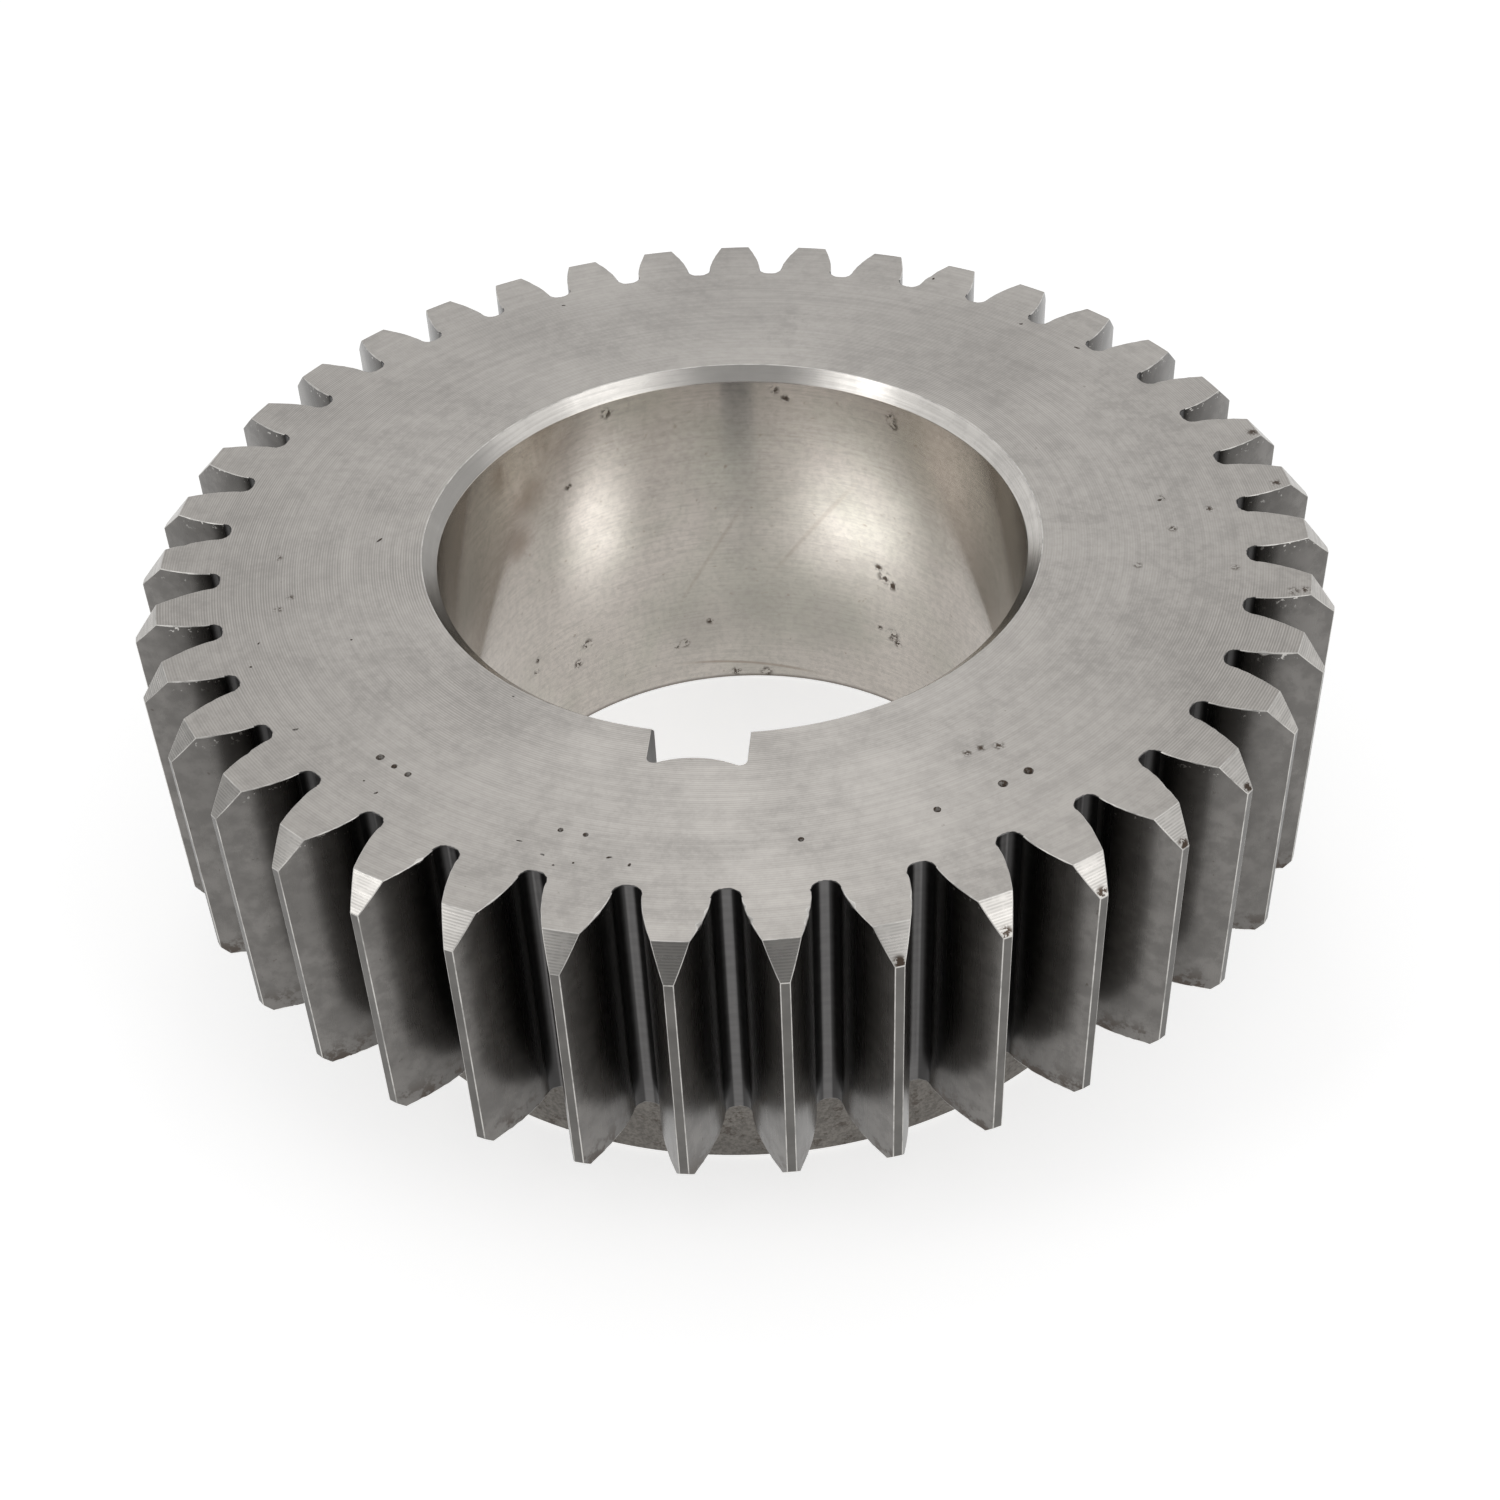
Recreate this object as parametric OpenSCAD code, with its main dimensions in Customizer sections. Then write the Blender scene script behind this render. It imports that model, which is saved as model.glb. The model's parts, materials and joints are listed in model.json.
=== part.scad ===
// Straight spur gear of a heavy gearbox, forged in one piece with its hub.
// It lies with the hub's foot on Z = 0 and its axis on Z. The keyway points to -Y,
// in line with the middle of a tooth, so that the gear can be timed on its shaft.

/* [Teeth] */
// Number of teeth
teeth = 39; // [36:1:42]
// Module: pitch diameter for each tooth, here a sixth of an inch
gear_module = 4.233; // [4.03:0.001:4.38]
// Pressure angle of the flanks, in degrees
pressure_angle = 20; // [18:0.5:22]
// Height of a tooth above the pitch circle, in modules
addendum = 1.5; // [1.2:0.02:1.56]
// Depth of a tooth space below the pitch circle, in modules
dedendum = 1.53; // [1.3:0.01:1.6]
// Thickness of a tooth on the pitch circle, as a share of the circular pitch
tooth_share = 0.518; // [0.5:0.002:0.53]
// Radius of the rounded root of a tooth space, in modules
root_round = 0.38; // [0.25:0.01:0.4]
// Length of the teeth along the axis
face_w = 42; // [30:0.1:50]

/* [Tooth ends] */
// How far the long turned chamfer at the upper tooth ends reaches in from the tips
tip_chamfer_in = 3.7; // [1:0.1:5]
// How far the same chamfer reaches down the tips
tip_chamfer_down = 4; // [1:0.1:8]
// How far the short chamfer at the lower tooth ends reaches in from the tips
foot_chamfer_in = 1.1; // [0.5:0.1:3]
// How far the same chamfer reaches up the tips
foot_chamfer_up = 1.4; // [0.5:0.1:4]

/* [Hub] */
// Diameter of the hub at its foot
hub_d = 133; // [115:1:142]
// Height of the hub below the teeth
hub_h = 23.3; // [10:0.1:40]
// Draft of the forged hub, in degrees
hub_draft = 5; // [1:0.5:7]
// Radius between the hub and the underside of the teeth
hub_fillet = 2.5; // [1:0.1:3]
// Chamfer round the hub's foot
hub_chamfer = 0.8; // [0.3:0.1:2]

/* [Bore] */
// Diameter of the bore
bore_d = 88.5; // [70:0.1:92]
// Chamfer at the upper end of the bore
bore_chamfer = 2.1; // [0.5:0.1:3]
// Chamfer at the lower end of the bore
bore_lead = 0.5; // [0.3:0.1:2]

/* [Keyway] */
// Width of the keyway
key_w = 13.5; // [10:0.1:18]
// Depth from the bore's surface to the highest part of the keyway's floor
key_depth = 7.1; // [4:0.1:9]
// Radius of the floor, which stands up a little in the middle
floor_crown = 12.7; // [10:0.1:40]
// Radius in the keyway's two corners
key_corner = 1; // [0.5:0.1:2]

/* [Hidden] */
STEEL = [0.6, 0.59, 0.57];
// Straight steps along each flank, each root fillet, the keyway's floor and its corners
FLANK_STEPS = 8;
FILLET_STEPS = 6;
FLOOR_STEPS = 10;
CORNER_STEPS = 4;
ROUND = 180;
// How far a cutting shape runs past the surface that it cuts
PAST = 1;
// How far the tooth outline runs past the tips before the blank trims it
TIP_PAST = 0.3;
// How much of the half tooth space a root fillet may take
FILLET_LIMIT = 0.95;

pitch_r = teeth * gear_module / 2;
tip_r = pitch_r + addendum * gear_module;
root_r = pitch_r - dedendum * gear_module;
base_r = pitch_r * cos(pressure_angle);
pitch_step = 360 / teeth;
total_h = hub_h + face_w;
bore_r = bore_d / 2;
hub_r = hub_d / 2;

// Involute function of an angle in degrees, given in degrees
function involute_deg(a) = tan(a) * 180 / PI - a;
// Roll angle, in radians, at which the involute reaches a radius
function roll_at(r) = sqrt(pow(r / base_r, 2) - 1);
// Half the angle that a tooth takes on the base circle
base_half = tooth_share * pitch_step / 2 + involute_deg(pressure_angle);
// Point of the flank at a roll angle, for a tooth that lies along +X
function flank_point(roll) =
    let (r = base_r * sqrt(1 + roll * roll), a = base_half - roll * 180 / PI + atan(roll))
    [r * cos(a), r * sin(a)];

// The root fillet touches the root circle and the flank
half_space = base_r * (pitch_step / 2 - base_half) * PI / 180;
fillet_r = min(root_round * gear_module, FILLET_LIMIT * half_space);
fillet_centre_r = root_r + fillet_r;
// Free length of the involute's string at the fillet's centre
string = sqrt(max(0, pow(fillet_centre_r, 2) - pow(base_r, 2)));
// Where the fillet would meet the involute below its start, it meets a radial flank instead
on_involute = string > fillet_r;
fillet_roll = on_involute ? (string - fillet_r) / base_r : 0;
fillet_tangent = base_half - fillet_roll * 180 / PI;
fillet_angle = on_involute
    ? fillet_tangent + atan(string / base_r)
    : base_half + asin(fillet_r / fillet_centre_r);
fillet_centre = fillet_centre_r * [cos(fillet_angle), sin(fillet_angle)];

// Upper half of a tooth along +X, from its tip down to the root circle
half_tooth = concat(
    [for (i = [FLANK_STEPS:-1:0])
        let (end = roll_at(tip_r + TIP_PAST))
        flank_point(fillet_roll + (end - fillet_roll) * i / FLANK_STEPS)],
    [for (i = [1:FILLET_STEPS])
        let (from = fillet_tangent - 90, to = fillet_angle - 180, f = from + (to - from) * i / FILLET_STEPS)
        fillet_centre + fillet_r * [cos(f), sin(f)]]);

function turned(p, a) = [p.x * cos(a) - p.y * sin(a), p.x * sin(a) + p.y * cos(a)];
function mirrored(p) = [p.x, -p.y];

// Outline of all the teeth, with the middle of one tooth on -Y
module tooth_outline() {
    last = len(half_tooth) - 1;
    polygon([for (k = [0:teeth - 1])
        let (a = k * pitch_step - 90)
        each concat(
            [for (i = [last:-1:0]) turned(mirrored(half_tooth[i]), a)],
            [for (i = [0:last]) turned(half_tooth[i], a)])]);
}

// Turned blank of the toothed rim, with both end chamfers
module rim_blank() {
    rotate_extrude($fn = ROUND)
        polygon([
            [0, hub_h],
            [tip_r - foot_chamfer_in, hub_h],
            [tip_r, hub_h + foot_chamfer_up],
            [tip_r, total_h - tip_chamfer_down],
            [tip_r - tip_chamfer_in, total_h],
            [0, total_h]]);
}

module toothed_rim() {
    intersection() {
        translate([0, 0, hub_h - PAST])
            linear_extrude(face_w + 2 * PAST)
                tooth_outline();
        rim_blank();
    }
}

// Forged hub, wider at the top by its draft, rounded into the underside of the teeth
module hub() {
    side_top_z = hub_h - hub_fillet * (1 - sin(hub_draft));
    side_top_r = hub_r + side_top_z * tan(hub_draft);
    centre_r = side_top_r + hub_fillet * cos(hub_draft);
    rotate_extrude($fn = ROUND)
        polygon(concat(
            [[0, 0], [hub_r - hub_chamfer, 0], [hub_r + hub_chamfer * tan(hub_draft), hub_chamfer]],
            [for (i = [0:FILLET_STEPS])
                let (a = 180 - hub_draft - (90 - hub_draft) * i / FILLET_STEPS)
                [centre_r + hub_fillet * cos(a), hub_h - hub_fillet + hub_fillet * sin(a)]],
            [[side_top_r, hub_h + PAST], [0, hub_h + PAST]]));
}

// Bore with a chamfer at each end
module bore() {
    rotate_extrude($fn = ROUND)
        polygon([
            [0, -PAST],
            [bore_r + bore_lead + PAST, -PAST],
            [bore_r, bore_lead],
            [bore_r, total_h - bore_chamfer],
            [bore_r + bore_chamfer + PAST, total_h + PAST],
            [0, total_h + PAST]]);
}

// Keyway through the whole length, with a crowned floor and rounded corners
module keyway() {
    crown_r = bore_r + key_depth + floor_crown;
    corner_x = key_w / 2 - key_corner;
    corner_lean = asin(corner_x / (floor_crown + key_corner));
    corner_r = crown_r - (floor_crown + key_corner) * cos(corner_lean);
    right_corner = [for (i = [0:CORNER_STEPS])
        let (a = -i * (90 + corner_lean) / CORNER_STEPS)
        [corner_x + key_corner * cos(a), -corner_r + key_corner * sin(a)]];
    floor_arc = [for (i = [1:FLOOR_STEPS - 1])
        let (a = corner_lean - 2 * corner_lean * i / FLOOR_STEPS)
        [floor_crown * sin(a), -crown_r + floor_crown * cos(a)]];
    translate([0, 0, -PAST])
        linear_extrude(total_h + 2 * PAST)
            polygon(concat(
                [[-key_w / 2, 0], [key_w / 2, 0]],
                right_corner,
                floor_arc,
                [for (i = [CORNER_STEPS:-1:0]) [-right_corner[i].x, right_corner[i].y]]));
}

module gear() {
    color(STEEL)
        difference() {
            union() {
                toothed_rim();
                hub();
            }
            bore();
            keyway();
        }
}

gear();
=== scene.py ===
"""Dresses the packed transmission gear and sets it in a plain studio.

The gear is one forging, so it is drawn as one closed skin. The skin follows the packed model
and adds what the tools left on the real gear: broken edges, turning lines, chips, punch dots
and a finish for each machined or forged surface.
"""
import json
import math

import bpy
import numpy as np
from bpy.props import FloatProperty, FloatVectorProperty, IntProperty, PointerProperty
from mathutils import Matrix, Quaternion, Vector
from mathutils.geometry import delaunay_2d_cdt


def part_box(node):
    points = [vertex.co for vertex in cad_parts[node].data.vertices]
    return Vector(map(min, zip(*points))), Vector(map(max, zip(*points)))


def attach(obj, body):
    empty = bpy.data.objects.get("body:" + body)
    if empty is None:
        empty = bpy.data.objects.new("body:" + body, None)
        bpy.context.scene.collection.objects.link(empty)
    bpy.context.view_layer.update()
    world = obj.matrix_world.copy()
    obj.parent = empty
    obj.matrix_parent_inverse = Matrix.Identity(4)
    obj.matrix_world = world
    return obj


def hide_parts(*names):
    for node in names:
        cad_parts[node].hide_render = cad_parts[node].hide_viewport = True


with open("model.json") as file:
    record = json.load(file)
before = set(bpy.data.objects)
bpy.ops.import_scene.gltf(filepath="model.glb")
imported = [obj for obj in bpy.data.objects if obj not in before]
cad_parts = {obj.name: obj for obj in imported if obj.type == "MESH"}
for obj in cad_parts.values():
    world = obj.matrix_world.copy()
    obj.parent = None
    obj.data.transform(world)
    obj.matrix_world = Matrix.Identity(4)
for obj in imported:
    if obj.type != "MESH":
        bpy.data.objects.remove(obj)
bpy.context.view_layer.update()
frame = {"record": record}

bl_info = {
    "name": "Transmission gear",
    "version": (1, 0, 0),
    "blender": (4, 5, 0),
    "location": "View3D > Sidebar > Gear",
    "description": "Draws a keyed spur gear with its machined finishes, and a studio round it",
    "category": "Object",
}

LOW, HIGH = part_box("gear")
BORE_R = next(mount["dims"]["r_mm"] for mount in frame["record"]["mounts"]
              if mount["name"] == "bore")
MM = 0.001
FACE_WIDTH = 42 * MM
TEETH_FOOT = HIGH.z - FACE_WIDTH


def length(name, description, default):
    """A size in metres that can't go below zero."""
    return FloatProperty(name=name, description=description, default=default, min=0.0,
                         precision=5, subtype="DISTANCE", unit="LENGTH")


def angle(name, description, degrees):
    """An angle whose default is given in degrees."""
    return FloatProperty(name=name, description=description, default=math.radians(degrees),
                         subtype="ANGLE", unit="ROTATION")


def share(name, description, default):
    """A plain number without a unit."""
    return FloatProperty(name=name, description=description, default=default, min=0.0)


def colour(name, description, default):
    """A colour in scene-linear values."""
    return FloatVectorProperty(name=name, description=description, default=default, size=3,
                               min=0.0, max=1.0, subtype="COLOR")


class GearSizes(bpy.types.PropertyGroup):
    """Sizes of the gear's teeth, hub, bore and keyway"""

    teeth: IntProperty(name="Teeth", description="Number of teeth", default=39, min=20)
    height: length("Height", "From the hub's foot to the toothed face", HIGH.z)
    tip_radius: length("Tip radius", "Radius over the tips of the teeth", -LOW.y)
    addendum: share("Addendum", "Height of a tooth above the pitch circle, in modules", 1.5)
    dedendum: share("Dedendum", "Depth of a space below the pitch circle, in modules", 1.53)
    pressure_angle: angle("Pressure angle", "Pressure angle of the flanks", 20)
    tooth_share: share("Tooth share", "Thickness of a tooth, of the circular pitch", 0.518)
    root_round: share("Root round", "Radius of the root fillets, in modules", 0.38)
    face_width: length("Face width", "Length of the teeth along the axis", FACE_WIDTH)
    tip_chamfer_in: length("Tip chamfer in", "Reach of the upper chamfer from the tips", 3.7 * MM)
    tip_chamfer_down: length("Tip chamfer down", "Reach of the same chamfer down", 4 * MM)
    foot_chamfer_in: length("Foot chamfer in", "Reach of the lower chamfer", 1.1 * MM)
    foot_chamfer_up: length("Foot chamfer up", "Reach of the same chamfer up", 1.4 * MM)
    hub_radius: length("Hub radius", "Radius of the hub at its foot", 66.5 * MM)
    hub_draft: angle("Hub draft", "Draft of the forged hub", 5)
    hub_fillet: length("Hub fillet", "Radius from the hub to the rim", 2.5 * MM)
    hub_chamfer: length("Hub chamfer", "Chamfer round the hub's foot", 0.8 * MM)
    bore_radius: length("Bore radius", "Radius of the bore", BORE_R * MM)
    bore_chamfer: length("Bore chamfer", "Chamfer at the bore's upper end", 2.1 * MM)
    bore_lead: length("Bore lead", "Chamfer at the bore's lower end", 0.5 * MM)
    key_width: length("Key width", "Width of the keyway", 13.5 * MM)
    key_depth: length("Key depth", "From the bore to the top of the keyway's floor", 7.1 * MM)
    floor_crown: length("Floor crown", "Radius of the keyway's floor", 12.7 * MM)
    key_corner: length("Key corner", "Radius in the keyway's corners", 1 * MM)


class GearEdges(bpy.types.PropertyGroup):
    """How far the gear's sharp edges are broken"""

    tip_round: length("Tip round", "Rounding of the long edges of the tip lands", 0.09 * MM)
    land: length("Land break", "Broken edge at the ends of the tip lands", 0.08 * MM)
    chamfer: length("Chamfer break", "Broken edge of the tip chamfers", 0.1 * MM)
    face: length("Face break", "Broken edge of the teeth on the toothed face", 0.13 * MM)
    foot: length("Foot break", "Broken edge of the teeth at their lower ends", 0.2 * MM)
    bore: length("Bore break", "Broken edge of the bore and the keyway", 0.07 * MM)
    crease: length("Crease", "Half width of the soft line between face and chamfer", 0.06 * MM)
    ragged: share("Ragged", "How unevenly the file broke the edges, as a share", 0.5)


class GearFinish(bpy.types.PropertyGroup):
    """Colours of the gear's surfaces"""

    turned: colour("Turned face", "Steel of the toothed face", (0.365, 0.347, 0.326))
    chamfer: colour("Tip chamfer", "Steel of the turned tip chamfers", (0.5, 0.482, 0.457))
    flank: colour("Flank", "Steel of the ground flanks", (0.182, 0.174, 0.165))
    root: colour("Root", "Hardened skin in the roots of the teeth", (0.118, 0.115, 0.114))
    land: colour("Land", "Steel of the tip lands", (0.15, 0.144, 0.136))
    edge: colour("Edge", "Bare steel along the broken edges", (0.56, 0.545, 0.52))
    bore: colour("Bore", "Steel of the honed bore", (0.535, 0.497, 0.457))
    bore_cool: colour("Bore, cool", "Greener patches of the bore", (0.472, 0.454, 0.403))
    stain: colour("Stain", "Oil stains in the bore", (0.27, 0.215, 0.17))
    # The keyway's steel is painted very dark: painted shade in the deep slot
    keyway: colour("Keyway", "Steel of the broached keyway", (0.08, 0.076, 0.072))
    forged: colour("Forged", "Scale on the forged hub", (0.175, 0.163, 0.148))
    # The pit colour also paints the contact shadow round the bore's lower end
    dirt_and_shadow: colour("Pit", "Rust and dirt in pits and dents", (0.06, 0.045, 0.035))


class StageLook(bpy.types.PropertyGroup):
    """Light and floor of the studio"""

    floor: colour("Floor", "Colour of the floor", (0.8, 0.8, 0.8))
    floor_lift: share("Floor lift", "White that the floor adds to what the lamps give", 0.62)
    ambient: share("Ambient", "Strength of the world on matt surfaces", 0.45)
    lamp_left: share("Left lamp", "Radiance of the left lamp, where 1 is white", 1.65)
    lamp_right: share("Right lamp", "Radiance of the right lamp, where 1 is white", 1.3)
    lamp_back: share("Back lamp", "Radiance of the lamp above and behind", 1.5)
    lamp_distance: length("Lamp distance", "From the gear to each lamp", 0.9)
    pool: share("Pools", "Brightness of the floor where the bore's wall lights it", 3.2)
    shade: share("Shade", "Brightness of the floor at the keyway's foot", 0.1)


def two_ways(operation):
    """The methods that put a wire first and last in a Math node's operation."""
    return (lambda wire, other: wire.graph.math(operation, wire, other),
            lambda wire, other: wire.graph.math(operation, other, wire))


class Wire:
    """An output socket that can stand in a sum, such as 1 - mask."""

    def __init__(self, graph, socket):
        self.graph = graph
        self.socket = socket

    __add__, __radd__ = two_ways("ADD")
    __sub__, __rsub__ = two_ways("SUBTRACT")
    __mul__, __rmul__ = two_ways("MULTIPLY")
    __truediv__, __rtruediv__ = two_ways("DIVIDE")
    __pow__, __rpow__ = two_ways("POWER")


class Graph:
    """The nodes of one material, lamp or world."""

    def __init__(self, owner):
        owner.use_nodes = True
        self.tree = owner.node_tree
        self.tree.nodes.clear()

    def node(self, kind, settings=None, inputs=None, output=0):
        """Adds a node, sets it up, feeds its sockets and gives one of its outputs."""
        made = self.tree.nodes.new(kind)
        for name, value in (settings or {}).items():
            setattr(made, name, value)
        for name, value in (inputs or {}).items():
            socket = made.inputs[name]
            if isinstance(value, Wire):
                self.tree.links.new(value.socket, socket)
            else:
                socket.default_value = value
        return Wire(self, made.outputs[output]) if made.outputs else made

    def math(self, operation, *values):
        return self.node("ShaderNodeMath", {"operation": operation}, dict(enumerate(values)))

    def mix(self, factor, first, second):
        """Mixes two colours, each a triple or a wire."""
        first, second = (c if isinstance(c, Wire) else (*c, 1.0) for c in (first, second))
        return self.node("ShaderNodeMix", {"data_type": "RGBA"},
                         {0: factor, 6: first, 7: second}, output=2)

    def ramp(self, value, low, high):
        """0 below low, 1 above high and a soft step between."""
        return self.node("ShaderNodeMapRange", {"interpolation_type": "SMOOTHSTEP"},
                         {"Value": value, "From Min": low, "From Max": high})

    def wave(self, value, step, sway):
        """Ridges from 0 to 1, one for each step of a value, that sway to and fro."""
        return 0.5 + 0.5 * self.math("SINE", value * (2 * math.pi / step) + sway)

    def noise(self, vector, scale, detail=2, roughness=0.5, distortion=0):
        return self.node("ShaderNodeTexNoise", None,
                         {"Vector": vector, "Scale": scale, "Detail": detail,
                          "Roughness": roughness, "Distortion": distortion})

    def coats(self, shade, *layers):
        """Lays colours over a shade, each given as a factor and a colour."""
        for factor, layer in layers:
            shade = self.mix(factor, shade, layer)
        return shade

    def metal(self, base, roughness, height, depth, brushed=0.0, glance=1.0):
        """Ends a material in a bare metal that stands up by height times depth, in metres.

        It is brushed round the axis as far as brushed says. A glance below 1 takes away its
        shine along the surface.
        """
        normal = self.node("ShaderNodeBump", None, {"Height": height, "Distance": depth})
        shader = self.node("ShaderNodeBsdfPrincipled", None,
                           {"Metallic": 1.0, "Base Color": base, "Roughness": roughness,
                            "Normal": normal, "Anisotropic": brushed,
                            "Anisotropic Rotation": 0.25,
                            "Specular Tint": (glance, glance, glance, 1.0)})
        self.node("ShaderNodeOutputMaterial", None, {"Surface": shader})


class Place:
    """Where a shaded point is on the gear."""

    def __init__(self, graph):
        self.graph = graph
        self.point = graph.node("ShaderNodeTexCoord", output="Object")
        self.x, self.y, self.z = (
            graph.node("ShaderNodeSeparateXYZ", None, {0: self.point}, output=axis)
            for axis in range(3))
        self.radius = (self.x * self.x + self.y * self.y) ** 0.5

    def stretched(self, x, y, z, detail, roughness, distortion=0):
        """Noise at a point of a stretched space."""
        vector = self.graph.node("ShaderNodeCombineXYZ", None, {0: x, 1: y, 2: z})
        return self.graph.noise(vector, 1, detail, roughness, distortion)

    def noise(self, scale, detail, roughness):
        return self.graph.noise(self.point, scale, detail, roughness)

    def grain(self, scale, detail, roughness, low, high):
        """Noise as soft patches: 0 where it is below low, 1 where it is above high."""
        return self.graph.ramp(self.noise(scale, detail, roughness), low, high)

    def rings(self, around, across, detail=2, roughness=0.5, along=0, distortion=0):
        """Noise in marks that run round the axis: long when around is small."""
        return self.stretched(self.x / self.radius * around, self.y / self.radius * around,
                              self.radius * across + self.z * along, detail, roughness,
                              distortion)

    def grooves(self, level, rise):
        """Noise with one scale in plan and another along the axis."""
        return self.stretched(self.x * level, self.y * level, self.z * rise, 2, 0.5)

    def spots(self, places, softness):
        """1 inside soft round spots, each given as a point and a radius in metres."""
        total = None
        for spot, size in places:
            gap = self.graph.node("ShaderNodeVectorMath", {"operation": "DISTANCE"},
                                  {0: self.point, 1: spot}, output="Value")
            inside = 1 - self.graph.ramp(gap, size * (1 - softness), size)
            total = inside if total is None else self.graph.math("MAXIMUM", total, inside)
        return total

    # A streak's ends as a share of its length, its full core as a share of its width, and how
    # far behind the axis it starts to show
    FADE = 0.3
    CORE = 0.2
    SIDE = 5 * MM

    def streak(self, start, end, width):
        """1 along a soft line on the far wall of the bore, in x and z, all in mm."""
        run_x = (end[0] - start[0]) * MM
        run_z = (end[1] - start[1]) * MM
        reach = math.hypot(run_x, run_z)
        x = self.x - start[0] * MM
        z = self.z - start[1] * MM
        along = (x * run_x + z * run_z) / reach
        off = self.graph.math("ABSOLUTE", (x * run_z - z * run_x) / reach)
        ends = self.graph.ramp(along, 0.0, self.FADE * reach) * (
            1 - self.graph.ramp(along, (1 - self.FADE) * reach, reach))
        line = 1 - self.graph.ramp(off, self.CORE * width * MM, width * MM)
        return ends * line * self.graph.ramp(self.y, 0.0, self.SIDE)


def on_face(radius, degrees, height=HIGH.z):
    """A point at a radius in millimetres and an angle about the axis."""
    turn = math.radians(degrees)
    return (radius * MM * math.cos(turn), radius * MM * math.sin(turn), height)


def times(colour, factor):
    """A colour made lighter or darker."""
    return tuple(part * factor for part in colour)


# Feed of the facing tool, for each turn of the gear, and where on the face it starts to show
FEED = 0.39 * MM
# Between these two the feed lines fade towards the front: a painted sheen that lightens the front of
# the face
FEED_SHEEN_FULL = -70 * MM
FEED_SHEEN_END = -30 * MM
# Small dirty marks on the toothed face: radius in mm, angle and size in mm
FACE_MARKS = ((84.3, 19.9, 1.5), (83.1, 10.4, 1.3), (82.7, -8.3, 1.3), (84.3, -7.9, 1.2),
              (65.6, 2.3, 1.1), (71.7, 6.3, 1.1), (60.4, -6.3, 1.0), (74.3, -5.1, 1.0),
              (60.6, -53.8, 1.0), (60.8, -51.8, 1.0), (61.9, -49.8, 1.2), (65.4, 9.3, 1.0),
              (67.7, -161.2, 1.0), (65.8, -163.3, 0.9), (67.7, -172.0, 0.9), (76.8, 53.5, 1.3))


def turned_face(graph, place, finish):
    """Toothed face: fine concentric feed lines under a soft mottle, with a few marks and a painted
    sheen towards the front.
    """
    steel = finish.turned
    feed = graph.wave(place.radius, FEED, place.rings(1.4, 260) * 7)
    # painted sheen: the feed lines are painted fainter towards the front of the face
    feed = feed * (0.3 + 0.7 * graph.ramp(place.y, FEED_SHEEN_FULL, FEED_SHEEN_END))
    shown = place.grain(24, 2, 0.5, 0.38, 0.6)
    lines = place.rings(2.2, 1500, 3, 0.7)
    cloud = place.noise(55, 5, 0.65)
    mottle = place.noise(420, 5, 0.75)
    marks = place.spots([(on_face(radius, turn), size * MM)
                         for radius, turn, size in FACE_MARKS], 0.9)
    shade = graph.coats(
        times(steel, 0.97),
        (graph.ramp(place.rings(1.6, 420, 3, 0.6), 0.3, 0.7), times(steel, 1.04)),
        (graph.ramp(cloud, 0.4, 0.65) * 0.6, times(steel, 0.74)),
        (graph.ramp(mottle, 0.35, 0.62) * 0.55, times(steel, 1.22)),
        (feed * (shown * 0.5 + 0.17) + graph.ramp(lines, 0.4, 0.62) * 0.17, times(steel, 0.6)),
        (place.grain(420, 4, 0.7, 0.7, 0.78) * 0.4, finish.dirt_and_shadow),
        (marks * place.grain(1300, 3, 0.7, 0.47, 0.53), finish.dirt_and_shadow))
    rough = 0.29 + graph.ramp(cloud, 0.3, 0.7) * 0.06 + mottle * 0.08
    height = lines * 0.5 + feed * (shown * 0.8 + 0.3) + mottle * 0.5
    graph.metal(shade, rough, height, 4e-6, brushed=0.3)


# The same feed on the tip chamfers, as a step in height
CHAMFER_FEED = 0.286 * MM
# Teeth, by their angle, whose tip chamfers have a dark spot next to the land: its radius in mm,
# how far below the toothed face it sits, and its size
DARK_SPOT_TIPS = (-71.5, -62.3, -53.1, -43.9, -34.6)
DARK_SPOT_RADIUS = 88.4
DARK_SPOT_DROP = 3.6 * MM
DARK_SPOT_SIZE = 1.2 * MM


def turned_chamfer(graph, place, finish):
    """Tip chamfers: coarser turning lines, and dark spots in the lower corners of some."""
    feed = graph.wave(place.z, CHAMFER_FEED, place.rings(3, 300) * 6)
    lines = place.rings(1.5, 1700, 2, 0.7)
    scuff = place.noise(500, 3, 0.6)
    dark_marks = place.spots([(on_face(DARK_SPOT_RADIUS, turn, HIGH.z - DARK_SPOT_DROP), DARK_SPOT_SIZE)
                        for turn in DARK_SPOT_TIPS], 0.6)
    shade = graph.coats(
        finish.chamfer,
        (graph.ramp(lines, 0.3, 0.7) * 0.3 + feed * graph.ramp(scuff, 0.3, 0.55) * 0.5,
         times(finish.chamfer, 0.52)),
        (dark_marks * place.grain(1100, 3, 0.7, 0.42, 0.5), finish.dirt_and_shadow))
    graph.metal(shade, 0.22 + lines * 0.13, lines + feed * 0.8 + scuff * 0.3, 9e-6)


# How far below the toothed face the bright specks of burr reach
BURR_REACH = 2.5 * MM
# How far the grime reaches up from the lower tooth ends
GRIME_REACH = 5 * MM
# Radii between which painted shade darkens the flanks towards the roots, deep in the tooth spaces
FLANK_SHADE_INNER = 79 * MM
FLANK_SHADE_OUTER = 88 * MM


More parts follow.
